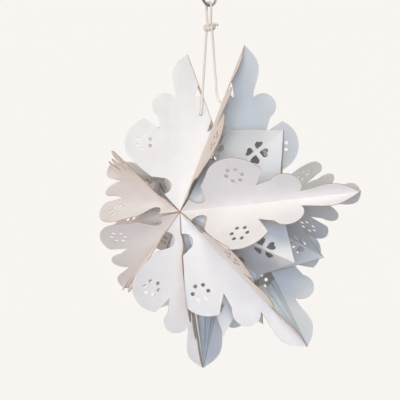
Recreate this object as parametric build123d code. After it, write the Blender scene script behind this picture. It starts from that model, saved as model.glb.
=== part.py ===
from build123d import *
from math import ceil, cos, hypot, pi, radians, sin, sqrt, tan
import os

# A hanging paper star of seven pods, each a pair of folded oak-leaf cards, with clover panels between.
# The axis of the star lies along Y with its front apex towards -Y, and it hangs from a hook on Z.
# The origin is where the hook's collar meets the ceiling. All sizes are in millimetres.

# Overall sizes
tip_radius = 150.0
apex_reach = 43.3
hook_to_star = 219.0
card = 0.5
seam_gap = 0.3
fold_lap = 0.4

# Where each pod points, in degrees from +X towards +Z, and how far its two halves flare from flat
pods = [
    {"azimuth": 5.7, "flare": {1: 49.0, -1: 50.0}},
    {"azimuth": 74.4, "flare": {1: -50.0, -1: 42.0}},
    {"azimuth": 100.7, "flare": {1: 45.0, -1: -50.0}},
    {"azimuth": 161.4, "flare": {1: 54.0, -1: 54.0}},
    {"azimuth": 213.6, "flare": {1: 52.0, -1: 60.0}},
    {"azimuth": 264.5, "flare": {1: 53.0, -1: 56.0}},
    {"azimuth": 311.9, "flare": {1: 50.0, -1: 52.0}},
]

# Oak leaf outline: places are (along the keel from the apex, out from the keel)
facet_turn = 20.0
base_corner = (15.5, 14.5)
bite_centre, bite_radius = (23.0, 16.0), 7.5
lobe_root = (31.5, 27.0)
big_lobe_centre, big_lobe_radius = (64.0, 26.5), 26.0
first_notch = (77.6, 21.4)
small_lobe_centre, small_lobe_radius = (101.5, 17.5), 12.3
second_notch = (109.7, 9.1)
tip_lobe_swell, tip_lobe_lean, tip_lobe_steps = 9.1, 1.45, 6

# Ring of punched holes in each big lobe
ring_centre = (64.3, 35.3)
ring_radius = 6.6
punch_radius = 1.7
ring_holes, punch_sides = 6, 6

# Clover panel: a square corner folded on its diagonal
panel_ridge = 113.0
panel_side = 60.0
valley_radius = 75.5
panel_root = 3.0
equator_gap = 0.6
ridge_clover_place = 84.0
valley_clover_place = 62.0
clover_leaf_start, clover_leaf_end = 2.6, 10.6
clover_leaf_half, clover_leaf_cleft = 3.8, 1.6
heart_shares = [(0.55, 1.0), (0.88, 0.9), (1.0, 0.4)]

# Cord and its knots
cord_radius, cord_sides = 1.1, 10
knot_height = 167.5
knot_width, knot_thick, knot_lobes = 13.0, 7.2, 3
knot_seat, knot_grip = 0.6, 1.0
knot_crown, knot_groove, knot_end = 0.9, 0.7, 1.8
tail_length, tail_rise = 3.0, 0.5
strand_spread = 6.6
entries = {2: (94.4, 14.8), 1: (104.0, 12.0)}
entry_hole_radius = 1.6
entry_stand = 5.0
stopper_radius, stopper_round = 2.9, 1.6
pocket_gap = 0.05

# Ceiling hook
hook_wire, hook_sides = 1.3, 12
hook_bend, hook_bend_inset = 10.0, 0.2
hook_drop = 31.5
hook_mouth = 6.0
neck_rise, neck_radius = 4.0, 5.0
collar_radius, collar_thick, collar_bevel = 8.0, 2.5, 1.5
thread_length, thread_point = 18.0, 0.3
running_gap = 0.3

# Lamp unit at the middle of the star, its own axis along Y
seat_gap = 0.2
cradle_thick = 0.8
cradle_rim = 38.0
cradle_arm_width = 9.0
cradle_overlap = 3.0
lamp_radius = 27.0
lamp_depth = 15.0
lamp_lip = 2.0
lamp_wall = 1.5
flange_radius, flange_thick = 31.0, 1.5
dome_height, dome_wall = 11.0, 1.2
dome_shares = [(0.8, 0.62), (0.45, 0.93)]
board_thick = 1.2
chip_size, chip_height, chip_ring, chip_count = 3.0, 1.0, 14.0, 6
cell_radius, cell_thick, cell_count = 10.0, 3.2, 2
tray_wall = 1.4
door_radius, door_thick, door_lip, door_rim = 12.5, 1.5, 1.8, 1.2
door_slot_width, door_slot_length, door_slot_depth = 1.6, 14.0, 0.7
switch_size, switch_rise = 3.0, 2.2
foot_length, foot_thick, foot_width = 6.0, 1.4, 4.5
switch_travel, switch_place = 3.0, 20.0

keel_length = hypot(tip_radius, apex_reach)
lift = Pos(0, 0, -hook_to_star)


def spoke(azimuth, radius=1.0, along=0.0):
    """A point at this radius and azimuth round the star's axis, and this far along Y."""
    turn = radians(azimuth)
    return Vector(radius * cos(turn), along, radius * sin(turn))


def arc_points(centre, radius, start, end):
    """Points of a round stretch, one for each facet, from one angle to another."""
    steps = ceil(abs(end - start) / facet_turn)
    turns = [radians(start + (end - start) * step / steps) for step in range(steps + 1)]
    return [(centre[0] + radius * cos(turn), centre[1] + radius * sin(turn)) for turn in turns]


def tip_lobe_points():
    """The tip lobe swells from the second notch and runs out to the tip."""
    start, width = second_notch
    shares = [step / tip_lobe_steps for step in range(1, tip_lobe_steps)]
    swells = [tip_lobe_swell * sin(pi * share ** tip_lobe_lean) for share in shares]
    along = [start + (keel_length - start) * share for share in shares]
    return [(place, width * (1 - share) + swell) for place, share, swell in zip(along, shares, swells)]


def half_outline(lap):
    """Half of an oak leaf, from the apex along its base, bite and lobes to the tip."""
    points = [(0.0, -lap), base_corner]
    points += arc_points(bite_centre, bite_radius, 195, 360)
    points += [lobe_root]
    points += arc_points(big_lobe_centre, big_lobe_radius, 150, 22)
    points += [first_notch]
    points += arc_points(small_lobe_centre, small_lobe_radius, 143, -35)
    points += [second_notch]
    points += tip_lobe_points()
    points += [(keel_length, -lap)]
    return points


def ring_places():
    """Centres of the punched holes, in the leaf's own plane."""
    along, out = ring_centre
    turns = [2 * pi * hole / ring_holes for hole in range(ring_holes)]
    return [(along + ring_radius * cos(turn), out + ring_radius * sin(turn)) for turn in turns]


def pod_frame(azimuth, side):
    """The keel's direction, the way round the star, and the outward normal of one pod's front or rear."""
    apex = Vector(0, side * apex_reach, 0)
    keel = (spoke(azimuth, tip_radius) - apex).normalized()
    around = Vector(-sin(radians(azimuth)), 0, cos(radians(azimuth)))
    normal = keel.cross(around).normalized()
    if normal.Y * side < 0:
        normal = normal * -1
    return apex, keel, around, normal


def half_gap(index, hand):
    """Half the angle between a pod and its neighbour on one hand."""
    near, far = pods[index]["azimuth"], pods[(index + hand) % len(pods)]["azimuth"]
    return ((far - near) * hand % 360) / 2


def sector_plane(index, hand):
    """The plane through the axis, half-way to the next pod, drawn back by the seam."""
    azimuth = pods[index]["azimuth"] + hand * half_gap(index, hand)
    outward = Vector(-sin(radians(azimuth)), 0, cos(radians(azimuth))) * hand
    return Plane(origin=outward * (-seam_gap / 2), z_dir=outward)


def half_leaf(index, side, hand):
    """One flat half of a leaf: its outline and ring of holes, tilted about the keel."""
    apex, keel, around, normal = pod_frame(pods[index]["azimuth"], side)
    flare = radians(pods[index]["flare"][hand])
    width = around * (hand * cos(flare)) + normal * sin(flare)
    inner = around * (-hand * sin(flare)) + normal * cos(flare)
    plane = Plane(origin=apex, x_dir=keel, z_dir=inner)
    flip = 1 if plane.y_dir.dot(width) > 0 else -1
    outline = half_outline(0.0 if flare > 0 else fold_lap)
    sheet = make_face(Polyline(*[(along, flip * out) for along, out in outline], close=True))
    if flare > 0:
        for along, out in ring_places():
            sheet -= Pos(along, flip * out) * RegularPolygon(punch_radius, punch_sides)
    solid = extrude(plane * sheet, amount=card)
    solid = split(solid, bisect_by=sector_plane(index, hand), keep=Keep.BOTTOM)
    equator = Plane(origin=(0, side * seam_gap / 2, 0), z_dir=(0, side, 0))
    return split(solid, bisect_by=equator, keep=Keep.TOP)


def leaf(index, side):
    """A folded leaf, with the cord's hole where it is one of the two that the cord draws together."""
    both = half_leaf(index, side, 1) + half_leaf(index, side, -1)
    for hand in (1, -1):
        both = split(both, bisect_by=sector_plane(index, hand), keep=Keep.BOTTOM)
    if side < 0 and index in entries:
        hole, outward = entry(index)
        both -= round_bar(hole - outward * card, hole + outward * 2 * card, entry_hole_radius)
    return max(both.solids(), key=lambda solid: solid.volume)


def panel_corner(half_angle):
    """Radius and depth of a panel's corner, from its fixed ridge and side lengths."""
    seat = (valley_radius * cos(half_angle), 0.0)
    reach = sqrt(panel_side ** 2 - (valley_radius * sin(half_angle)) ** 2)
    across = hypot(seat[0], apex_reach)
    along = (panel_ridge ** 2 - reach ** 2 + across ** 2) / (2 * across)
    off = sqrt(panel_ridge ** 2 - along ** 2)
    unit = (seat[0] / across, apex_reach / across)
    return along * unit[0] + off * unit[1], apex_reach - (along * unit[1] - off * unit[0])


def clover_leaf(centre, heading, flip):
    """One heart-shaped opening of a clover, pointing at its centre."""
    start, end, half = clover_leaf_start, clover_leaf_end, clover_leaf_half
    lobe = [(start + share * (end - start), half * width) for share, width in heart_shares]
    other_lobe = [(along, -out) for along, out in reversed(lobe)]
    heart = [(start, 0)] + lobe + [(end - clover_leaf_cleft, 0)] + other_lobe
    turned = Rotation(0, 0, heading) * make_face(Polyline(*heart, close=True))
    x, y = centre
    placed = Pos(x, y) * turned
    return placed if flip > 0 else mirror(placed, about=Plane.XZ)


def flank(index, side, hand, corner_azimuth, corner):
    """One flank of a clover panel, from its ridge to the valley on one pod."""
    apex = Vector(0, side * apex_reach, 0)
    tip = spoke(corner_azimuth, corner[0], side * corner[1])
    valley = spoke(pods[index]["azimuth"], valley_radius)
    ridge, fold = (tip - apex).normalized(), valley - apex
    normal = ridge.cross(fold).normalized()
    if normal.dot(tip + apex) > 0:
        normal = normal * -1
    plane = Plane(origin=apex, x_dir=ridge, z_dir=normal)
    flip = 1 if plane.y_dir.dot(fold) > 0 else -1
    along, out = fold.dot(ridge), abs(fold.dot(plane.y_dir))
    reach = hypot(along, out)
    lean = Vector(along, out, 0).get_angle(Vector(1, 0, 0))
    root = (panel_root * along / reach, panel_root * out / reach)
    outline = [(panel_root, 0), (panel_ridge, 0), (along, out), root]
    sheet = make_face(Polyline(*[(x, flip * y) for x, y in outline], close=True))
    side_place = (valley_clover_place * along / reach, valley_clover_place * out / reach)
    for heading in (45, 135):
        sheet -= clover_leaf((ridge_clover_place, 0), heading, flip)
        sheet -= clover_leaf(side_place, lean - heading, flip)
    solid = extrude(plane * sheet, amount=card)
    around = Vector(-sin(radians(pods[index]["azimuth"])), 0, cos(radians(pods[index]["azimuth"]))) * hand
    solid = split(solid, bisect_by=Plane(origin=around * (seam_gap / 2), z_dir=around), keep=Keep.TOP)
    equator = Plane(origin=(0, side * equator_gap, 0), z_dir=(0, side, 0))
    return split(solid, bisect_by=equator, keep=Keep.TOP)


def panel(index, side):
    """The folded clover panel between one pod and the next one round."""
    half = half_gap(index, 1)
    azimuth = pods[index]["azimuth"] + half
    corner = panel_corner(radians(half))
    other = (index + 1) % len(pods)
    return flank(index, side, 1, azimuth, corner) + flank(other, side, -1, azimuth, corner)


def entry(index):
    """Where the cord goes through a tucked half: the hole and the direction out of the card."""
    apex, keel, around, normal = pod_frame(pods[index]["azimuth"], -1)
    hand = 1 if pods[index]["flare"][1] < 0 else -1
    flare = radians(pods[index]["flare"][hand])
    width = around * (hand * cos(flare)) + normal * sin(flare)
    outward = around * (-hand * sin(flare)) + normal * cos(flare)
    along, out = entries[index]
    return apex + keel * along + width * out, outward


def round_bar(start, end, radius):
    """A plain round bar from one point to another."""
    axis = end - start
    return extrude(Plane(origin=start, z_dir=axis) * Circle(radius), amount=axis.length)


def tube(path, radius, sides):
    """A tube along a path, with a many-sided section of about this radius."""
    return sweep(Plane(origin=path @ 0, z_dir=path % 0) * RegularPolygon(radius, sides), path=path)


def strand_route(index):
    """From the knot down to the hole, round a small bend and square through the card."""
    hole, outward = entry(index)
    side = 1 if hole.X > 0 else -1
    top = Vector(side * strand_spread / 2, 0, knot_height - knot_thick / 2 + knot_grip)
    outer = hole + outward * entry_stand
    inner = hole - outward * (stopper_radius - knot_grip)
    return [top, outer, inner]


def strand(index):
    top, outer, inner = strand_route(index)
    turn = (outer - top).get_angle(inner - outer)
    shorter = (inner - outer).length
    radius = 0.45 * shorter / tan(radians(turn / 2))
    print("cord bend on pod", index + 1, "radius", round(radius, 2))
    path = FilletPolyline(top, outer, inner, radius=radius)
    solid = tube(path, cord_radius, cord_sides)
    section = RegularPolygon(cord_radius, cord_sides).area
    print("cord volume", round(solid.volume, 1), "section by length", round(section * path.length, 1))
    return solid


def stopper(index):
    hole, outward = entry(index)
    centre = hole - outward * (stopper_radius + running_gap)
    route = strand_route(index)
    ball = round_bar(centre - outward * stopper_radius, centre + outward * stopper_radius, stopper_radius)
    ball = chamfer(ball.edges(), stopper_round)
    return ball - round_bar(route[2], route[1], cord_radius + pocket_gap)


def knot():
    """The overhand knot that joins both strands, as rounded turns side by side, with its cut end."""
    pitch = knot_width / knot_lobes
    radius = knot_thick / 2
    profile = [(-knot_width / 2, 0), (-knot_width / 2, knot_end)]
    for turn in range(knot_lobes):
        middle = (turn + 0.5) * pitch - knot_width / 2
        profile += [(middle - knot_crown, radius), (middle + knot_crown, radius)]
        if turn < knot_lobes - 1:
            profile.append((middle + pitch / 2, radius - knot_groove))
    profile += [(knot_width / 2, knot_end), (knot_width / 2, 0)]
    body = Pos(0, 0, knot_height) * revolve(make_face(Polyline(*profile, close=True)), Axis.X)
    end = Vector(knot_width / 2 + tail_length, 0, knot_height + tail_rise)
    body += round_bar(Vector(knot_width / 4, 0, knot_height), end, cord_radius)
    for index in entries:
        route = strand_route(index)
        body -= round_bar(route[0], route[1], cord_radius + pocket_gap)
    lid = Plane(origin=(0, 0, knot_height + knot_thick / 2 - knot_seat))
    return split(body, bisect_by=lid, keep=Keep.BOTTOM)


def cord_loop():
    """The doubled cord from the knot over the hook and back."""
    reach = hook_wire + running_gap + cord_radius
    foot = knot_height + knot_thick / 2 - knot_seat + running_gap
    top = hook_to_star - hook_drop
    up = Line((reach, 0, foot), (reach, 0, top))
    over = ThreePointArc((reach, 0, top), (0, 0, top + reach), (-reach, 0, top))
    down = Line((-reach, 0, top), (-reach, 0, foot))
    return tube(Wire([up, over, down]), cord_radius, cord_sides)


def ceiling_hook():
    """A screw-in hook: threaded end, collar, neck and a round bend with an open mouth."""
    low, side = -hook_drop, hook_bend
    points = [
        (0, 0, 0),
        (0, 0, low + 2 * side + neck_rise),
        (0, side, low + side + neck_rise),
        (0, side, low),
        (0, -side, low),
        (0, -side, low + side + hook_mouth),
    ]
    bend_radius = side - hook_bend_inset
    path = FilletPolyline(*points, radius=[neck_radius, neck_radius, bend_radius, bend_radius])
    wire = tube(path, hook_wire, hook_sides)
    collar = extrude(Circle(collar_radius), amount=-collar_thick)
    collar = chamfer(collar.edges().group_by(Axis.Z)[0], collar_bevel)
    plain = thread_length - hook_wire
    shank = extrude(Circle(hook_wire), amount=plain)
    point = Cone(hook_wire, thread_point, hook_wire, align=(Align.CENTER, Align.CENTER, Align.MIN))
    shank += Pos(0, 0, plain) * point
    return wire + collar + shank


def disc(radius, start, end, hole=0.0):
    """A disc or ring about the star's axis, between two places along Y."""
    face = Circle(radius)
    if hole > 0:
        face -= Circle(hole)
    return extrude(Plane(origin=(0, start, 0), z_dir=(0, 1, 0)) * face, amount=end - start)


def lamp_cradle():
    """A flat card ring with an arm into every valley, which carries the lamp unit."""
    low, high = -cradle_thick / 2, cradle_thick / 2
    ring = disc(cradle_rim, low, high)
    reach = valley_radius + cradle_overlap
    for pod in pods:
        arm = Pos(reach / 2, 0, 0) * Box(reach, cradle_thick, cradle_arm_width)
        ring += Rotation(0, -pod["azimuth"], 0) * arm
    return ring - disc(lamp_radius + seat_gap, low, high)


def lamp_housing():
    """The lamp unit's cup, open to the front, with a flange behind the cradle."""
    back = cradle_thick / 2 + seat_gap
    cup = disc(lamp_radius, -lamp_lip, lamp_depth)
    cup += disc(flange_radius, back, back + flange_thick)
    cup -= disc(lamp_radius - lamp_wall, -lamp_lip, lamp_depth - lamp_wall)
    cup -= disc(door_radius + seat_gap, lamp_depth - lamp_wall, lamp_depth)
    slot = switch_size + switch_travel + 2 * seat_gap
    window = Box(slot, lamp_wall, switch_size + 2 * seat_gap)
    return cup - Pos(switch_travel / 2, lamp_depth - lamp_wall / 2, switch_place) * window


def dome_body(radius, height, base):
    """A shallow many-stepped dome of this radius and height, towards the front."""
    steps = [(radius * across, base - height * up) for across, up in dome_shares]
    outline = [(0, base), (radius, base)] + steps + [(0, base - height)]
    return revolve(make_face(Polyline(*outline, close=True)), Axis.Y)


def lamp_dome():
    """A shallow frosted dome over the chips, seated on the housing's front lip."""
    base = -lamp_lip - seat_gap
    radius = lamp_radius - seat_gap
    return dome_body(radius, dome_height, base) - dome_body(radius - lamp_wall, dome_height - dome_wall, base)


def board_front():
    """Where the board's front face lies along Y."""
    return -lamp_lip + chip_height + seat_gap


def lamp_board():
    """A round board inside the housing, just behind the dome."""
    return disc(lamp_radius - lamp_wall - seat_gap, board_front(), board_front() + board_thick)


def lamp_chips():
    """Light chips in a ring on the front of the board."""
    front = board_front()
    chips = []
    for number in range(chip_count):
        place = spoke(360 * number / chip_count, chip_ring, front - chip_height / 2)
        chips.append(Pos(*place) * Box(chip_size, chip_height, chip_size))
    return Compound(children=chips)


def cell_tray():
    """A sleeve behind the board that holds the coin cells."""
    start = board_front() + board_thick + seat_gap
    end = lamp_depth - lamp_wall - seat_gap
    radius = cell_radius + seat_gap
    return disc(radius + tray_wall, start, end) - disc(radius, start + tray_wall, end)


def coin_cells():
    """A stack of coin cells in the tray."""
    start = board_front() + board_thick + tray_wall + 2 * seat_gap
    cells = []
    for number in range(cell_count):
        low = start + number * (cell_thick + seat_gap)
        cells.append(disc(cell_radius, low, low + cell_thick))
    return Compound(children=cells)


def battery_door():
    """A round door in the housing's back, turned with a coin."""
    inner, outer = lamp_depth - door_thick, lamp_depth + seat_gap
    door = disc(door_radius, inner, outer) + disc(door_radius + door_lip, outer, outer + door_rim)
    slot = Box(door_slot_length, door_slot_depth, door_slot_width)
    return door - Pos(0, outer + door_rim - door_slot_depth / 2, 0) * slot


def slide_switch():
    """A switch that slides in a slot in the housing's back, held by a foot inside."""
    wall = lamp_depth - lamp_wall
    nub_length = lamp_wall + seat_gap + switch_rise
    nub = Pos(0, wall - seat_gap + nub_length / 2, switch_place) * Box(switch_size, nub_length, switch_size)
    foot = Pos(0, wall - seat_gap - foot_thick / 2, switch_place) * Box(foot_length, foot_thick, foot_width)
    return nub + foot


def save(name, shape):
    """Move a piece from the star's middle to its place under the hook and write it."""
    export_step(lift * shape, "parts/" + name + ".step")


os.makedirs("parts", exist_ok=True)
for number in range(len(pods)):
    save(f"front_leaf_{number + 1}", leaf(number, -1))
    save(f"rear_leaf_{number + 1}", leaf(number, 1))
    if number not in entries or number + 1 not in entries:
        save(f"front_panel_{number + 1}", panel(number, -1))
        save(f"rear_panel_{number + 1}", panel(number, 1))
save("knot", knot())
save("cord_loop", cord_loop())
for number in entries:
    save(f"cord_strand_{number + 1}", strand(number))
    save(f"stopper_knot_{number + 1}", stopper(number))
save("lamp_cradle", lamp_cradle())
save("lamp_housing", lamp_housing())
save("lamp_dome", lamp_dome())
save("lamp_board", lamp_board())
save("lamp_chips", lamp_chips())
save("cell_tray", cell_tray())
save("coin_cells", coin_cells())
save("battery_door", battery_door())
save("slide_switch", slide_switch())
export_step(ceiling_hook(), "parts/ceiling_hook.step")
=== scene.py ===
from math import atan2, ceil, cos, hypot, pi, radians, sin, sqrt

import bmesh
import bpy
from mathutils import Matrix, Vector, geometry, noise


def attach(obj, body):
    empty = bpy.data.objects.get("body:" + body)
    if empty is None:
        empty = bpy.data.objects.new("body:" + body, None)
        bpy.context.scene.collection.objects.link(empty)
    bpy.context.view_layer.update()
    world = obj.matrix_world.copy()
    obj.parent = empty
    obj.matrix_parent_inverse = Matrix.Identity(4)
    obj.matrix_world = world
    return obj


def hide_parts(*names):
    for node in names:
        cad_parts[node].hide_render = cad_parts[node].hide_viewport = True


# The look of a hanging paper star of oak-leaf pods and clover panels. Sizes are in metres.

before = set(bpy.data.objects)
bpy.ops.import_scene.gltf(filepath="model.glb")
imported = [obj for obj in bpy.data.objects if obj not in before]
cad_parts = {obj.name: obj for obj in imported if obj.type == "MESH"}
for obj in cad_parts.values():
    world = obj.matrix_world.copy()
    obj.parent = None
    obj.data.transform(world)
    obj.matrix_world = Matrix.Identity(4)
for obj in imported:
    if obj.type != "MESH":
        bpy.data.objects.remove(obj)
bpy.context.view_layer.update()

# The star's sizes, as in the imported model
tip_radius = 0.150
apex_reach = 0.0433
hook_to_star = 0.219
card = 0.0005
seam_gap = 0.0003
equator_gap = 0.0006
star_centre = Vector((0, 0, -hook_to_star))
pods = [
    {"azimuth": 5.7, "flare": {1: 49.0, -1: 50.0}},
    {"azimuth": 74.4, "flare": {1: -50.0, -1: 42.0}},
    {"azimuth": 100.7, "flare": {1: 45.0, -1: -50.0}},
    {"azimuth": 161.4, "flare": {1: 54.0, -1: 54.0}},
    {"azimuth": 213.6, "flare": {1: 52.0, -1: 60.0}},
    {"azimuth": 264.5, "flare": {1: 53.0, -1: 56.0}},
    {"azimuth": 311.9, "flare": {1: 50.0, -1: 52.0}},
]
seam_pods = (2, 1)

# Oak leaf outline: places are (along the keel from the apex, out from the keel)
base_corner = (0.0155, 0.0145)
bite_centre, bite_radius = (0.023, 0.016), 0.0075
lobe_root = (0.0315, 0.027)
big_lobe_centre, big_lobe_radius = (0.064, 0.0265), 0.026
first_notch = (0.0776, 0.0214)
small_lobe_centre, small_lobe_radius = (0.1015, 0.0175), 0.0123
second_notch = (0.1097, 0.0091)
tip_lobe_swell, tip_lobe_lean = 0.0091, 1.45
keel_length = hypot(tip_radius, apex_reach)
ring_centre, ring_radius, ring_holes = (0.0643, 0.0353), 0.0066, 6
punch_radius, punch_sides = 0.0017, 18
entries = {2: (0.0944, 0.0148), 1: (0.1040, 0.0120)}
entry_hole_radius = 0.0016

# Clover panel sizes
panel_ridge, panel_side, valley_radius, panel_root = 0.113, 0.060, 0.0755, 0.003
ridge_clover_place, valley_clover_place = 0.084, 0.062
panel_ring_centre, panel_ring_radius, panel_punch_radius = (0.046, 0.0115), 0.0048, 0.0012
heart_start, heart_end, heart_half, heart_cleft = 0.0026, 0.0106, 0.0038, 0.0016

# Cord, knot and hook sizes
cord_radius, ply_depth = 0.0011, 0.10
cord_sides, cord_step, cord_plies, cord_lay = 18, 0.00055, 3, 0.0065
route_steps = 12
knot_height, knot_width, knot_thick, knot_seat = 0.1675, 0.0130, 0.0072, 0.0006
running_gap = 0.0003
strand_spread, strand_lead, entry_stand = 0.0066, 0.012, 0.005
stopper_radius, knot_grip, trefoil_depth, trefoil_steps = 0.0029, 0.001, 1.6, 72
loop_pinch, loop_waist, loop_rise, loop_shoulder = 0.0020, 0.92, 0.007, 0.003
wrap_turns, wrap_steps, wrap_taper = 3.25, 14, 0.14
core_plies, core_lay = 5, 0.012
hook_wire, hook_drop = 0.0013, 0.0315

# How finely a sheet is cut up
sheet_step = 0.0032
edge_step = 0.0016
row_share, rim_share = 0.866, 0.55
tip_lobe_points = 26
heart_points = 7
weld = 0.00002

# How much a card bows, ripples and creases away from flat
bow, bow_reach, bow_start, bow_rise = 0.0016, 0.045, 0.02, 0.05
ripple, ripple_scale, ripple_rise = 0.0012, 22, 0.01
crease_depth, crease_pitch, crease_reach = 0.00045, 0.0105, 0.026
panel_belly, belly_rise, narrowest = 0.0011, 0.06, 0.001

# Pleated webs between the front and rear keels: where each starts, out from the star's axis
web_starts = {0: 0.086, 3: 0.086, 4: 0.086, 5: 0.084, 6: 0.082}
web_pleats, web_depth, web_columns, web_rows = 3, 0.0024, 48, 36
web_clearance, web_dip, web_end = 0.0012, 0.10, 0.985


def spoke(azimuth, radius=1.0, along=0.0):
    """A direction or point at this azimuth round the star's axis, and this far along Y."""
    turn = radians(azimuth)
    return Vector((radius * cos(turn), along, radius * sin(turn)))


def pod_frame(azimuth, side):
    """The keel's direction, the way round the star, and the outward normal of a pod's front or rear."""
    apex = Vector((0, side * apex_reach, 0))
    keel = (spoke(azimuth, tip_radius) - apex).normalized()
    around = Vector((-sin(radians(azimuth)), 0, cos(radians(azimuth))))
    normal = keel.cross(around).normalized()
    if normal.y * side < 0:
        normal = -normal
    return apex, keel, around, normal


def half_axes(index, side, hand):
    """A half leaf's apex, its keel, the way out from the keel, and the normal on its valley side."""
    apex, keel, around, normal = pod_frame(pods[index]["azimuth"], side)
    flare = radians(pods[index]["flare"][hand])
    width = around * (hand * cos(flare)) + normal * sin(flare)
    valley = around * (-hand * sin(flare)) + normal * cos(flare)
    return apex, keel, width, valley


def half_gap(index, hand):
    """Half the angle between a pod and its neighbour on one hand."""
    near, far = pods[index]["azimuth"], pods[(index + hand) % len(pods)]["azimuth"]
    return ((far - near) * hand % 360) / 2


# Flat outlines

def arc(centre, radius, start, end, step=edge_step):
    """Points of a round stretch from one angle to another, in degrees."""
    count = max(3, ceil(radius * abs(radians(end - start)) / step))
    turns = [radians(start + (end - start) * n / count) for n in range(count + 1)]
    return [Vector((centre[0] + radius * cos(t), centre[1] + radius * sin(t))) for t in turns]


def subdivided(points, step=edge_step):
    """The same closed outline with its long straight stretches cut into short ones."""
    out = []
    for here, there in zip(points, points[1:] + points[:1]):
        count = max(1, round((there - here).length / step))
        out += [here.lerp(there, n / count) for n in range(count)]
    return out


def leaf_outline():
    """Half of an oak leaf: apex, base, bite, big lobe, small lobe and tip lobe, back along the keel."""
    points = [Vector((0, 0)), Vector(base_corner)]
    points += arc(bite_centre, bite_radius, 195, 360)
    points += [Vector(lobe_root)]
    points += arc(big_lobe_centre, big_lobe_radius, 150, 22)
    points += [Vector(first_notch)]
    points += arc(small_lobe_centre, small_lobe_radius, 143, -35)
    points += [Vector(second_notch)]
    start, width = second_notch
    for n in range(1, tip_lobe_points):
        share = n / tip_lobe_points
        swell = tip_lobe_swell * sin(pi * share ** tip_lobe_lean)
        points.append(Vector((start + (keel_length - start) * share, width * (1 - share) + swell)))
    points.append(Vector((keel_length, 0)))
    return subdivided(points)


def punch(centre, radius):
    """The outline of one punched hole."""
    turns = [2 * pi * n / punch_sides for n in range(punch_sides)]
    return [Vector((centre[0] + radius * cos(t), centre[1] + radius * sin(t))) for t in turns]


def ring_punches(centre, radius, size):
    """A ring of punched holes."""
    turns = [2 * pi * n / ring_holes for n in range(ring_holes)]
    places = [(centre[0] + radius * cos(t), centre[1] + radius * sin(t)) for t in turns]
    return [punch(place, size) for place in places]


def heart(centre, heading):
    """One heart-shaped opening of a clover, its point at the clover's centre."""
    length = heart_end - heart_start
    spans = [
        [(0, 0), (0.22, 0.30), (0.34, 1.0), (0.66, 1.0)],
        [(0.66, 1.0), (0.90, 1.0), (1.06, 0.30), (1 - heart_cleft / length, 0)],
    ]
    side = []
    for span in spans:
        knots = [Vector((heart_start + length * a, heart_half * b, 0)) for a, b in span]
        side += geometry.interpolate_bezier(*knots, heart_points)[:-1]
    side.append(Vector((heart_end - heart_cleft, 0, 0)))
    loop = [p.to_2d() for p in side] + [Vector((p.x, -p.y)) for p in reversed(side[1:-1])]
    turn = Matrix.Rotation(radians(heading), 2)
    return [turn @ p + Vector(centre) for p in loop]


# From outlines to sheets of card

def is_inside(point, loop):
    """Whether a point lies within a closed outline."""
    hit = False
    for a, b in zip(loop, loop[1:] + loop[:1]):
        if (a.y > point.y) != (b.y > point.y):
            if point.x < (b.x - a.x) * (point.y - a.y) / (b.y - a.y) + a.x:
                hit = not hit
    return hit


def flat_sheet(outline, holes):
    """Points and triangles that fill an outline around its holes."""
    loops = [outline] + holes
    points, edges = [], []
    for loop in loops:
        start = len(points)
        points += loop
        edges += [(start + n, start + (n + 1) % len(loop)) for n in range(len(loop))]
    rims = list(points)
    low = Vector((min(p.x for p in outline), min(p.y for p in outline)))
    high = Vector((max(p.x for p in outline), max(p.y for p in outline)))
    row_step = sheet_step * row_share
    rows = ceil((high.y - low.y) / row_step)
    columns = ceil((high.x - low.x) / sheet_step)
    for row in range(rows):
        for column in range(columns):
            x = low.x + (column + 0.5 * (row % 2)) * sheet_step
            here = Vector((x, low.y + row * row_step))
            if min((here - rim).length_squared for rim in rims) < (rim_share * sheet_step) ** 2:
                continue
            if is_inside(here, outline) and not any(is_inside(here, hole) for hole in holes):
                points.append(here)
    made = geometry.delaunay_2d_cdt(points, edges, [], 0, 1e-8)
    triangles = []
    for face in made[2]:
        middle = sum((made[0][n] for n in face), Vector((0, 0))) / len(face)
        if is_inside(middle, outline) and not any(is_inside(middle, hole) for hole in holes):
            triangles.append(list(face))
    return made[0], triangles


def add_sheet(target, flat, place):
    """Adds a flat sheet to a mesh, each point put in space by place(x, y)."""
    points, triangles = flat
    verts = [target.verts.new(place(p.x, p.y)) for p in points]
    for triangle in triangles:
        target.faces.new([verts[n] for n in triangle])


def trim(target, point, outward):
    """Cuts away what lies beyond a plane."""
    parts = target.verts[:] + target.edges[:] + target.faces[:]
    bmesh.ops.bisect_plane(target, geom=parts, plane_co=point, plane_no=outward, clear_outer=True)


def join(target, part):
    """Moves one working mesh into another."""
    made = bpy.data.meshes.new("part")
    part.to_mesh(made)
    part.free()
    target.from_mesh(made)
    bpy.data.meshes.remove(made)


def keep_largest(target):
    """Deletes the scraps that a trim leaves behind."""
    target.faces.ensure_lookup_table()
    seen, groups = set(), []
    for face in target.faces:
        if face in seen:
            continue
        group, queue = [], [face]
        seen.add(face)
        while queue:
            here = queue.pop()
            group.append(here)
            for edge in here.edges:
                for other in edge.link_faces:
                    if other not in seen:
                        seen.add(other)
                        queue.append(other)
        groups.append(group)
    groups.sort(key=len)
    scraps = [face for group in groups[:-1] for face in group]
    bmesh.ops.delete(target, geom=scraps, context="FACES")


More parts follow.
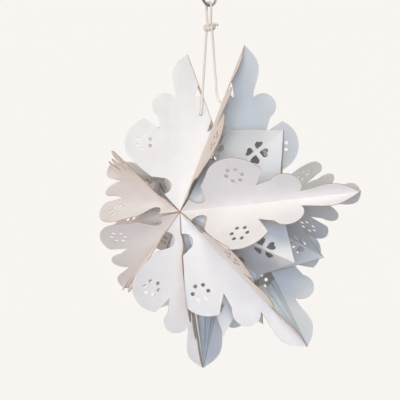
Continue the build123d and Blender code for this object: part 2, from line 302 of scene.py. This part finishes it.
def card_piece(name, sheet, thick_side, nodes, materials, crease_turn=25):
    """Gives a sheet its thickness, soft shading and cut edges, and stands it for any CAD nodes named."""
    bmesh.ops.remove_doubles(sheet, verts=sheet.verts, dist=weld)
    loose = [v for v in sheet.verts if not v.link_faces]
    bmesh.ops.delete(sheet, geom=loose, context="VERTS")
    bmesh.ops.recalc_face_normals(sheet, faces=sheet.faces)
    total = Vector((0, 0, 0))
    for face in sheet.faces:
        total += face.normal * face.calc_area()
    if total.dot(thick_side) < 0:
        bmesh.ops.reverse_faces(sheet, faces=sheet.faces)
    mesh = bpy.data.meshes.new(name)
    sheet.to_mesh(mesh)
    sheet.free()
    mesh.transform(Matrix.Translation(star_centre))
    piece = bpy.data.objects.new(name, mesh)
    bpy.context.scene.collection.objects.link(piece)
    for material in materials:
        mesh.materials.append(material)
    thicken = piece.modifiers.new("card", "SOLIDIFY")
    thicken.thickness = card
    thicken.offset = 1
    thicken.use_rim = True
    thicken.material_offset_rim = 1
    solid = bpy.data.meshes.new_from_object(piece.evaluated_get(bpy.context.evaluated_depsgraph_get()))
    solid.name = name
    piece.modifiers.clear()
    piece.data = solid
    bpy.data.meshes.remove(mesh)
    shade(solid, crease_turn)
    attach(piece, "star")
    if nodes:
        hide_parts(*nodes)
    return piece


def shade(mesh, crease_turn):
    """Smooth shading, with sharp edges where faces meet at more than this turn."""
    work = bmesh.new()
    work.from_mesh(mesh)
    for face in work.faces:
        face.smooth = True
    for edge in work.edges:
        if len(edge.link_faces) != 2 or edge.calc_face_angle(pi) > radians(crease_turn):
            edge.smooth = False
    work.to_mesh(mesh)
    work.free()


# Materials

def new_material(name):
    """A new material, with its nodes, its links and its main shader."""
    material = bpy.data.materials.new(name)
    material.use_nodes = True
    nodes = material.node_tree.nodes
    shader = nodes["Principled BSDF"]
    return material, nodes, material.node_tree.links, shader


def object_noise(nodes, links, scale, detail=4.0, roughness=0.55, stretch=None):
    """Noise in the object's own coordinates, stretched if asked."""
    place = nodes.new("ShaderNodeTexCoord")
    texture = nodes.new("ShaderNodeTexNoise")
    texture.inputs["Scale"].default_value = scale
    texture.inputs["Detail"].default_value = detail
    texture.inputs["Roughness"].default_value = roughness
    source = place.outputs["Object"]
    if stretch:
        mapping = nodes.new("ShaderNodeMapping")
        mapping.inputs["Scale"].default_value = stretch
        links.new(source, mapping.inputs["Vector"])
        source = mapping.outputs["Vector"]
    links.new(source, texture.inputs["Vector"])
    return texture.outputs["Fac"]


def blend_colours(nodes, links, factor, low, high, start=0.35, end=0.65):
    """A colour between two others, by a factor."""
    ramp = nodes.new("ShaderNodeValToRGB")
    ramp.color_ramp.elements[0].position = start
    ramp.color_ramp.elements[0].color = (*low, 1)
    ramp.color_ramp.elements[1].position = end
    ramp.color_ramp.elements[1].color = (*high, 1)
    links.new(factor, ramp.inputs["Fac"])
    return ramp.outputs["Color"]


def add_bump(nodes, links, shader, height, strength, distance):
    """Raises the surface a little where the height is large."""
    bump = nodes.new("ShaderNodeBump")
    bump.inputs["Strength"].default_value = strength
    bump.inputs["Distance"].default_value = distance
    links.new(height, bump.inputs["Height"])
    links.new(bump.outputs["Normal"], shader.inputs["Normal"])


def card_material(name, low, high):
    """Matte card: faint clouding of its colour and a fine fibre tooth."""
    material, nodes, links, shader = new_material(name)
    clouds = object_noise(nodes, links, 45.0, 3.0)
    links.new(blend_colours(nodes, links, clouds, low, high), shader.inputs["Base Color"])
    shader.inputs["Roughness"].default_value = 0.88
    shader.inputs["Specular IOR Level"].default_value = 0.25
    fibres = object_noise(nodes, links, 1400.0, 5.0, 0.65, (1.0, 1.0, 0.45))
    add_bump(nodes, links, shader, fibres, 0.25, 0.00008)
    return material


def plastic_material(name, colour, roughness, grain):
    """Moulded plastic: one colour, slightly clouded, with a fine grain."""
    material, nodes, links, shader = new_material(name)
    low = tuple(0.94 * c for c in colour)
    clouds = object_noise(nodes, links, 60.0, 2.0)
    links.new(blend_colours(nodes, links, clouds, low, colour), shader.inputs["Base Color"])
    shader.inputs["Roughness"].default_value = roughness
    add_bump(nodes, links, shader, object_noise(nodes, links, 2200.0, 2.0), grain, 0.00004)
    return material


def metal_material(name, colour, roughness, stretch):
    """Plated metal with faint streaks along one way."""
    material, nodes, links, shader = new_material(name)
    low = tuple(0.8 * c for c in colour)
    streaks = object_noise(nodes, links, 500.0, 4.0, 0.6, stretch)
    links.new(blend_colours(nodes, links, streaks, low, colour), shader.inputs["Base Color"])
    shader.inputs["Metallic"].default_value = 1.0
    shader.inputs["Roughness"].default_value = roughness
    add_bump(nodes, links, shader, streaks, 0.12, 0.00004)
    return material


def cord_material(name, low, high):
    """Off-white cotton with soft, short fibres."""
    material, nodes, links, shader = new_material(name)
    yarn = object_noise(nodes, links, 900.0, 4.0, 0.7, (1.0, 1.0, 0.25))
    links.new(blend_colours(nodes, links, yarn, low, high), shader.inputs["Base Color"])
    shader.inputs["Roughness"].default_value = 0.9
    shader.inputs["Sheen Weight"].default_value = 0.25
    add_bump(nodes, links, shader, object_noise(nodes, links, 4200.0, 3.0), 0.5, 0.0001)
    return material


white_card = card_material("white_card", (0.84, 0.825, 0.805), (0.88, 0.87, 0.855))
cut_edge = card_material("cut_edge", (0.42, 0.27, 0.19), (0.55, 0.38, 0.28))
# The webs are the same white card. This darker grey-green copy is painted shade for the inside of the
# pods.
web_card_painted_shade = card_material("web_card_painted_shade", (0.66, 0.67, 0.65), (0.74, 0.75, 0.73))
cotton = cord_material("cotton", (0.72, 0.67, 0.60), (0.86, 0.82, 0.76))


# Leaves

def card_bow(index, side, hand, along, out):
    """How far a half leaf stands off its flat, as real card does: none at the keel or the apex."""
    reach = out / bow_reach
    free = min(1.0, max(0.0, (along - bow_start) / bow_rise))
    roll = bow * reach * abs(reach) * free
    seed = index * 3.7 + side * 1.3 + hand * 0.9
    wave = noise.noise(Vector((along * ripple_scale, out * ripple_scale, seed))) * ripple
    crease = 0.0
    if index in seam_pods and out < crease_reach:
        fade = sin(pi * out / crease_reach) * free
        crease = crease_depth * fade * sin(2 * pi * out / crease_pitch)
    return roll + wave * min(1.0, out / ripple_rise) * free + crease


punched_half = flat_sheet(leaf_outline(), ring_punches(ring_centre, ring_radius, punch_radius))


def leaf(index, side):
    """A folded oak leaf: two flat halves that meet at the keel, trimmed at their neighbours."""
    sheet = bmesh.new()
    total = Vector((0, 0, 0))
    for hand in (1, -1):
        apex, keel, width, valley = half_axes(index, side, hand)
        tucked = pods[index]["flare"][hand] < 0
        flat = punched_half
        if tucked:
            holes = [punch(entries[index], entry_hole_radius)] if side < 0 else []
            flat = flat_sheet(leaf_outline(), holes)
        half = bmesh.new()
        add_sheet(half, flat, lambda x, y: apex + keel * x + width * y)
        for way in (1, -1):
            azimuth = pods[index]["azimuth"] + way * half_gap(index, way)
            outward = Vector((-sin(radians(azimuth)), 0, cos(radians(azimuth)))) * way
            trim(half, outward * (-seam_gap / 2), outward)
        trim(half, Vector((0, side * seam_gap / 2, 0)), Vector((0, -side, 0)))
        if not tucked:
            for vert in half.verts:
                arm = vert.co - apex
                along, out = arm.dot(keel), arm.dot(width)
                vert.co += valley * -card_bow(index, side, hand, along, out)
        join(sheet, half)
        total += valley
    bmesh.ops.remove_doubles(sheet, verts=sheet.verts, dist=weld)
    keep_largest(sheet)
    name = ("front" if side < 0 else "rear") + f"_leaf_{index + 1}"
    return card_piece("card_" + name, sheet, total, [name], [white_card, cut_edge])


# Webs

def web(index):
    """A pleated web that closes a pod between its keels, its pleats fanning to the tip."""
    azimuth = pods[index]["azimuth"]
    around = Vector((-sin(radians(azimuth)), 0, cos(radians(azimuth))))
    start = web_starts[index]
    sheet = bmesh.new()
    rows = []
    for n in range(web_rows + 1):
        share = n / web_rows
        out = start + (tip_radius - start) * share * web_end
        half = apex_reach * (1 - out / tip_radius) - web_clearance * (1 - share)
        row = []
        for k in range(web_columns + 1):
            across = 2 * k / web_columns - 1
            dip = web_dip * (1 - across * across) * (tip_radius - start) * (1 - share)
            pleat = cos(pi * web_pleats * (across + 1)) * web_depth * (1 - share) ** 0.8
            pleat *= 1 - abs(across) ** 6
            place = spoke(azimuth, out + dip * (1 - share), across * half) + around * pleat
            row.append(sheet.verts.new(place))
        rows.append(row)
    for row, above in zip(rows, rows[1:]):
        for k in range(web_columns):
            sheet.faces.new((row[k], row[k + 1], above[k + 1], above[k]))
    # The web gets the darker card, which is painted shade.
    return card_piece(f"card_pod_web_{index + 1}", sheet, around, [], [web_card_painted_shade, cut_edge], 40)


# Clover panels

def panel_corner(half_angle):
    """Radius and depth of a panel's corner, from its fixed ridge and side lengths."""
    seat = valley_radius * cos(half_angle)
    reach = sqrt(panel_side ** 2 - (valley_radius * sin(half_angle)) ** 2)
    across = hypot(seat, apex_reach)
    along = (panel_ridge ** 2 - reach ** 2 + across ** 2) / (2 * across)
    off = sqrt(panel_ridge ** 2 - along ** 2)
    unit = (seat / across, apex_reach / across)
    return along * unit[0] + off * unit[1], apex_reach - (along * unit[1] - off * unit[0])


def flank_flat(along, out):
    """The flat of one flank: ridge, free side, valley and root, with its clover openings."""
    reach = hypot(along, out)
    lean = atan2(out, along) * 180 / pi
    root = Vector((along, out)) * (panel_root / reach)
    outline = [Vector((panel_root, 0)), Vector((panel_ridge, 0)), Vector((along, out)), root]
    side_place = Vector((along, out)) * (valley_clover_place / reach)
    holes = [heart((ridge_clover_place, 0), heading) for heading in (45, 135)]
    holes += ring_punches(panel_ring_centre, panel_ring_radius, panel_punch_radius)
    holes += [heart(side_place, lean - heading) for heading in (45, 135)]
    return flat_sheet(subdivided(outline), holes)


def panel(index, side):
    """The folded clover panel between one pod and the next one round."""
    half = half_gap(index, 1)
    azimuth = pods[index]["azimuth"] + half
    radius, depth = panel_corner(radians(half))
    apex = Vector((0, side * apex_reach, 0))
    tip = spoke(azimuth, radius, side * depth)
    ridge = (tip - apex).normalized()
    sheet = bmesh.new()
    total = Vector((0, 0, 0))
    for number, hand in ((index, 1), ((index + 1) % len(pods), -1)):
        turn = radians(pods[number]["azimuth"])
        fold = spoke(pods[number]["azimuth"], valley_radius) - apex
        normal = ridge.cross(fold).normalized()
        if normal.dot(tip + apex) > 0:
            normal = -normal
        across = (fold - ridge * fold.dot(ridge)).normalized()
        along, out = fold.dot(ridge), fold.dot(across)
        half_sheet = bmesh.new()
        add_sheet(half_sheet, flank_flat(along, out), lambda x, y: apex + ridge * x + across * y)
        around = Vector((-sin(turn), 0, cos(turn))) * hand
        trim(half_sheet, around * (seam_gap / 2), -around)
        trim(half_sheet, Vector((0, side * equator_gap, 0)), Vector((0, -side, 0)))
        for vert in half_sheet.verts:
            arm = vert.co - apex
            x, y = arm.dot(ridge), arm.dot(across)
            share = min(1.0, max(0.0, y / max(narrowest, x * out / along)))
            belly = sin(pi * share) * min(1.0, x / belly_rise)
            vert.co -= normal * (panel_belly * belly)
        join(sheet, half_sheet)
        total += normal
    name = ("front" if side < 0 else "rear") + f"_panel_{index + 1}"
    return card_piece("card_" + name, sheet, total, [name], [white_card, cut_edge])


# Cords

def smooth_line(points):
    """Points along the smooth line that a cord's route controls."""
    curve = bpy.data.curves.new("route", "CURVE")
    curve.dimensions = "3D"
    spline = curve.splines.new("NURBS")
    spline.points.add(len(points) - 1)
    for knot, place in zip(spline.points, points):
        knot.co = (*place, 1)
    spline.order_u = 3
    spline.use_endpoint_u = True
    spline.resolution_u = route_steps
    holder = bpy.data.objects.new("route", curve)
    mesh = bpy.data.meshes.new_from_object(holder)
    line = [v.co.copy() for v in mesh.vertices]
    bpy.data.objects.remove(holder)
    bpy.data.curves.remove(curve)
    bpy.data.meshes.remove(mesh)
    return line


def evenly(line, step):
    """The same line with points this far apart."""
    lengths = [0.0]
    for a, b in zip(line, line[1:]):
        lengths.append(lengths[-1] + (b - a).length)
    count = max(2, round(lengths[-1] / step))
    places, at = [], 0
    for n in range(count + 1):
        want = lengths[-1] * n / count
        while at < len(lengths) - 2 and lengths[at + 1] < want:
            at += 1
        span = lengths[at + 1] - lengths[at]
        share = (want - lengths[at]) / span if span > 0 else 0
        places.append(line[at].lerp(line[at + 1], min(1.0, max(0.0, share))))
    return places


def twisted_cord(name, line, radius, material, plies=cord_plies, lay=cord_lay, closed=False):
    """A laid cord along a line: a tube whose section has plies that wind round it."""
    places = evenly(line, cord_step)
    if closed:
        places = places[:-1]
    work = bmesh.new()
    normal = None
    rings = []
    travelled = 0.0
    for n, place in enumerate(places):
        if closed:
            ahead = places[(n + 1) % len(places)] - places[n - 1]
        else:
            ahead = places[min(n + 1, len(places) - 1)] - places[max(n - 1, 0)]
        ahead.normalize()
        if normal is None:
            normal = ahead.orthogonal().normalized()
        normal = (normal - ahead * normal.dot(ahead)).normalized()
        across = ahead.cross(normal)
        if n:
            travelled += (place - places[n - 1]).length
        twist = 2 * pi * travelled / lay
        ring = []
        for k in range(cord_sides):
            turn = 2 * pi * k / cord_sides
            lobe = abs(cos(plies / 2 * (turn - twist)))
            out = radius * (1 - ply_depth + ply_depth * lobe)
            ring.append(work.verts.new(place + (normal * cos(turn) + across * sin(turn)) * out))
        rings.append(ring)
    pairs = list(zip(rings, rings[1:]))
    if closed:
        pairs.append((rings[-1], rings[0]))
    for ring, other in pairs:
        for k in range(cord_sides):
            m = (k + 1) % cord_sides
            work.faces.new((ring[k], ring[m], other[m], other[k]))
    if not closed:
        work.faces.new(list(reversed(rings[0])))
        work.faces.new(rings[-1])
    bmesh.ops.recalc_face_normals(work, faces=work.faces)
    mesh = bpy.data.meshes.new(name)
    work.to_mesh(mesh)
    work.free()
    mesh.materials.append(material)
    shade(mesh, 60)
    piece = bpy.data.objects.new(name, mesh)
    bpy.context.scene.collection.objects.link(piece)
    return piece, places


def entry(index):
    """Where the cord goes through a tucked half, and the direction out of the card."""
    hand = 1 if pods[index]["flare"][1] < 0 else -1
    apex, keel, width, valley = half_axes(index, -1, hand)
    along, out = entries[index]
    return apex + keel * along + width * out, valley


def strand_route(index):
    """The strand's points, from the knot to the hole and through the card."""
    hole, outward = entry(index)
    side = 1 if hole.x > 0 else -1
    top = Vector((side * strand_spread / 2, 0, knot_height - knot_thick / 2 + knot_grip))
    outer = hole + outward * entry_stand
    inner = hole - outward * (stopper_radius - knot_grip)
    near = outer + (top - outer).normalized() * strand_lead
    return [top, top.lerp(near, 0.5), near, outer, inner]


def make_strand(index):
    """One strand, from the knot down to its pod."""
    route = [point + star_centre for point in strand_route(index)]
    node = f"cord_strand_{index + 1}"
    piece, line = twisted_cord("cotton_" + node, smooth_line(route), cord_radius, cotton)
    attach(piece, "star")
    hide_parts(node)
    return piece


def make_loop():
    """The doubled cord from the knot over the hook and back."""
    reach = hook_wire + running_gap + cord_radius
    foot = knot_height + knot_thick / 2 - knot_seat + running_gap
    top = hook_to_star - hook_drop
    right = [
        (loop_pinch, foot),
        (loop_waist * reach, foot + loop_rise),
        (reach, top - loop_shoulder),
        (reach, top + reach),
    ]
    points = [Vector((x, 0, z)) for x, z in right] + [Vector((-x, 0, z)) for x, z in reversed(right)]
    route = [point + star_centre for point in points]
    piece, line = twisted_cord("cotton_cord_loop", smooth_line(route), cord_radius, cotton)
    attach(piece, "hanger")
    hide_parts("cord_loop")
    return piece


def make_knot():
    """An overhand knot: turns of cord side by side, with a cut end sticking out."""
    points = []
    half = knot_width / 2 - cord_radius
    wind = knot_thick / 2 - cord_radius
    total = int(wrap_turns * wrap_steps)
    for n in range(total + 1):
        share = n / total
        turn = 2 * pi * wrap_turns * share
        x = -half + 2 * half * share
        swell = wind * (1 - wrap_taper + wrap_taper * sin(pi * share))
        points.append(Vector((x, swell * cos(turn), knot_height + swell * sin(turn))))
    last = points[-1]
    points.append(last + Vector((0.0016, 0.0004, 0.0002)))
    points.append(Vector((knot_width / 2 + 0.0030, 0.0008, knot_height + 0.0003)))
    route = [point + star_centre for point in points]
    wraps, _ = twisted_cord("cotton_knot", route, cord_radius, cotton)
    core = [Vector((x, 0, knot_height)) + star_centre for x in (-half, -half / 2, 0, half / 2, half)]
    girth = wind - 0.2 * cord_radius
    middle, _ = twisted_cord("cotton_knot_core", core, girth, cotton, core_plies, core_lay)
    for piece in (wraps, middle):
        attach(piece, "star")
    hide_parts("knot")
    return [wraps, middle]


def make_stopper(index):
    """A small trefoil of cord behind the card, which stops the strand's end."""
    hole, outward = entry(index)
    centre = hole - outward * (stopper_radius + running_gap) + star_centre
    size = (stopper_radius - cord_radius) / 3
    turn = outward.to_track_quat("Z", "Y").to_matrix()
    line = []
    for n in range(trefoil_steps + 1):
        t = 2 * pi * n / trefoil_steps
        flat = Vector((sin(t) + 2 * sin(2 * t), cos(t) - 2 * cos(2 * t), -trefoil_depth * sin(3 * t)))
        line.append(centre + turn @ (flat * size))
    node = f"stopper_knot_{index + 1}"
    piece, _ = twisted_cord("cotton_" + node, line, cord_radius, cotton, closed=True)
    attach(piece, "star")
    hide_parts(node)
    return piece


# Camera, as in the photograph: places are taken from the star's centre
camera_place = Vector((0.3635, -0.4276, 0.0156))
camera_roll = -0.017
camera_lens, sensor = 54.7, 36.0
image_side = 400
centre_pixel = (212.3, 210.2)

camera_data = bpy.data.cameras.new("camera")
camera_data.lens = camera_lens
camera_data.sensor_width = sensor
camera_data.shift_x = -(centre_pixel[0] - image_side / 2) / image_side
camera_data.shift_y = (centre_pixel[1] - image_side / 2) / image_side
camera = bpy.data.objects.new("camera", camera_data)
bpy.context.scene.collection.objects.link(camera)
facing = (-camera_place).to_track_quat("-Z", "Y").to_matrix().to_4x4()
rolled = facing @ Matrix.Rotation(camera_roll, 4, "Z")
camera.matrix_world = Matrix.Translation(star_centre + camera_place) @ rolled
bpy.context.scene.camera = camera

# Cords come first
knot_pieces = make_knot()
make_loop()
for number in seam_pods:
    stopper = make_stopper(number)
    make_strand(number)

for number in range(len(pods)):
    leaf(number, -1)
    leaf(number, 1)
    if number != min(seam_pods):
        panel(number, -1)
        panel(number, 1)
for number in web_starts:
    web(number)

# CAD nodes that show as they are get their finish here
finishes = {
    "lamp_cradle": card_material("cradle_board", (0.80, 0.77, 0.72), (0.86, 0.84, 0.80)),
    "lamp_housing": plastic_material("lamp_shell", (0.86, 0.86, 0.84), 0.45, 0.25),
    "cell_tray": plastic_material("tray_shell", (0.80, 0.80, 0.78), 0.5, 0.25),
    "battery_door": plastic_material("door_shell", (0.84, 0.84, 0.82), 0.45, 0.25),
    "lamp_dome": plastic_material("frosted_dome", (0.92, 0.90, 0.86), 0.35, 0.1),
    "lamp_board": plastic_material("board_mask", (0.80, 0.82, 0.78), 0.35, 0.15),
    "lamp_chips": plastic_material("phosphor", (0.90, 0.72, 0.22), 0.3, 0.1),
    "coin_cells": metal_material("cell_steel", (0.72, 0.72, 0.70), 0.3, (1.0, 0.1, 1.0)),
    "slide_switch": plastic_material("switch_black", (0.06, 0.06, 0.065), 0.5, 0.3),
    "ceiling_hook": metal_material("zinc_plate", (0.40, 0.41, 0.42), 0.42, (1.0, 1.0, 0.2)),
}
for node, material in finishes.items():
    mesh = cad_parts[node].data
    mesh.materials.clear()
    mesh.materials.append(material)

# Studio: pale floor, a backdrop as pale as the photograph's, and soft lights
backdrop_colour = (0.945, 0.915, 0.885)
floor_drop, floor_radius, floor_sides = 1.2, 6.0, 96
floor_glow_share, floor_glow = 0.97, 1.02


def make_floor():
    """A pale round floor that shows as the backdrop does, with a little of its own shading."""
    mesh = bpy.data.meshes.new("floor")
    work = bmesh.new()
    bmesh.ops.create_circle(work, cap_ends=True, segments=floor_sides, radius=floor_radius)
    work.to_mesh(mesh)
    work.free()
    floor = bpy.data.objects.new("floor", mesh)
    bpy.context.scene.collection.objects.link(floor)
    floor.location = star_centre + Vector((0, 0, -floor_drop))
    material, nodes, links, shader = new_material("pale_floor")
    shader.inputs["Base Color"].default_value = (0.80, 0.78, 0.75, 1)
    shader.inputs["Roughness"].default_value = 0.9
    path = nodes.new("ShaderNodeLightPath")
    glow = nodes.new("ShaderNodeEmission")
    glow.inputs["Color"].default_value = (*(c * floor_glow for c in backdrop_colour), 1)
    mix = nodes.new("ShaderNodeMixShader")
    share = nodes.new("ShaderNodeMath")
    share.operation = "MULTIPLY"
    share.inputs[1].default_value = floor_glow_share
    links.new(path.outputs["Is Camera Ray"], share.inputs[0])
    links.new(share.outputs[0], mix.inputs[0])
    links.new(shader.outputs[0], mix.inputs[1])
    links.new(glow.outputs[0], mix.inputs[2])
    links.new(mix.outputs[0], nodes["Material Output"].inputs["Surface"])
    mesh.materials.append(material)


def make_world(ambient, strength):
    """Soft light from all round, with the pale backdrop where it is seen or mirrored."""
    world = bpy.data.worlds.new("studio")
    bpy.context.scene.world = world
    world.use_nodes = True
    nodes, links = world.node_tree.nodes, world.node_tree.links
    nodes.clear()
    path = nodes.new("ShaderNodeLightPath")
    seen = nodes.new("ShaderNodeMath")
    seen.operation = "MAXIMUM"
    links.new(path.outputs["Is Camera Ray"], seen.inputs[0])
    links.new(path.outputs["Is Glossy Ray"], seen.inputs[1])
    also = nodes.new("ShaderNodeMath")
    also.operation = "MAXIMUM"
    links.new(seen.outputs[0], also.inputs[0])
    links.new(path.outputs["Is Transmission Ray"], also.inputs[1])
    fill = nodes.new("ShaderNodeBackground")
    fill.inputs["Color"].default_value = (*ambient, 1)
    fill.inputs["Strength"].default_value = strength
    shown = nodes.new("ShaderNodeBackground")
    shown.inputs["Color"].default_value = (*backdrop_colour, 1)
    mix = nodes.new("ShaderNodeMixShader")
    links.new(also.outputs[0], mix.inputs[0])
    links.new(fill.outputs[0], mix.inputs[1])
    links.new(shown.outputs[0], mix.inputs[2])
    output = nodes.new("ShaderNodeOutputWorld")
    links.new(mix.outputs[0], output.inputs["Surface"])


def area_light(name, place, size, power, colour):
    """A round soft light at a place from the star's centre, aimed at it."""
    data = bpy.data.lights.new(name, "AREA")
    data.shape = "DISK"
    data.size = size
    data.energy = power
    data.color = colour
    lamp = bpy.data.objects.new(name, data)
    bpy.context.scene.collection.objects.link(lamp)
    lamp.location = star_centre + place
    lamp.rotation_euler = (-place).to_track_quat("-Z", "Y").to_euler()


toward = camera_place.normalized()
rightward = Vector((-toward.y, toward.x, 0)).normalized()
upward = Vector((0, 0, 1))
make_floor()
make_world((0.75, 0.52, 0.42), 0.10)

# Each light's place towards the camera, to its right and up, then its size, power and colour
lamps = {
    "front_cool": ((1.35, 0, 0), 0.7, 9.4, (0.60, 0.76, 1.0)),
    "front_high": ((1.05, 0, 0.85), 0.7, 6.2, (1.0, 0.97, 0.82)),
    "front_left": ((1.0, -0.9, 0), 0.7, 5.2, (1.0, 0.78, 0.60)),
    "left_pink": ((0.1, -1.35, 0), 0.7, 4.2, (1.0, 0.76, 0.70)),
    "back_fill": ((-1.3, 0, 0.45), 1.0, 11.0, (1.0, 0.98, 0.95)),
    "back_right": ((-1.0, 0.9, 0), 0.8, 3.0, (0.92, 0.96, 1.0)),
}
for name, (reach, size, power, colour) in lamps.items():
    place = toward * reach[0] + rightward * reach[1] + upward * reach[2]
    area_light(name, place, size, power, colour)

bpy.context.scene.view_settings.view_transform = "Standard"
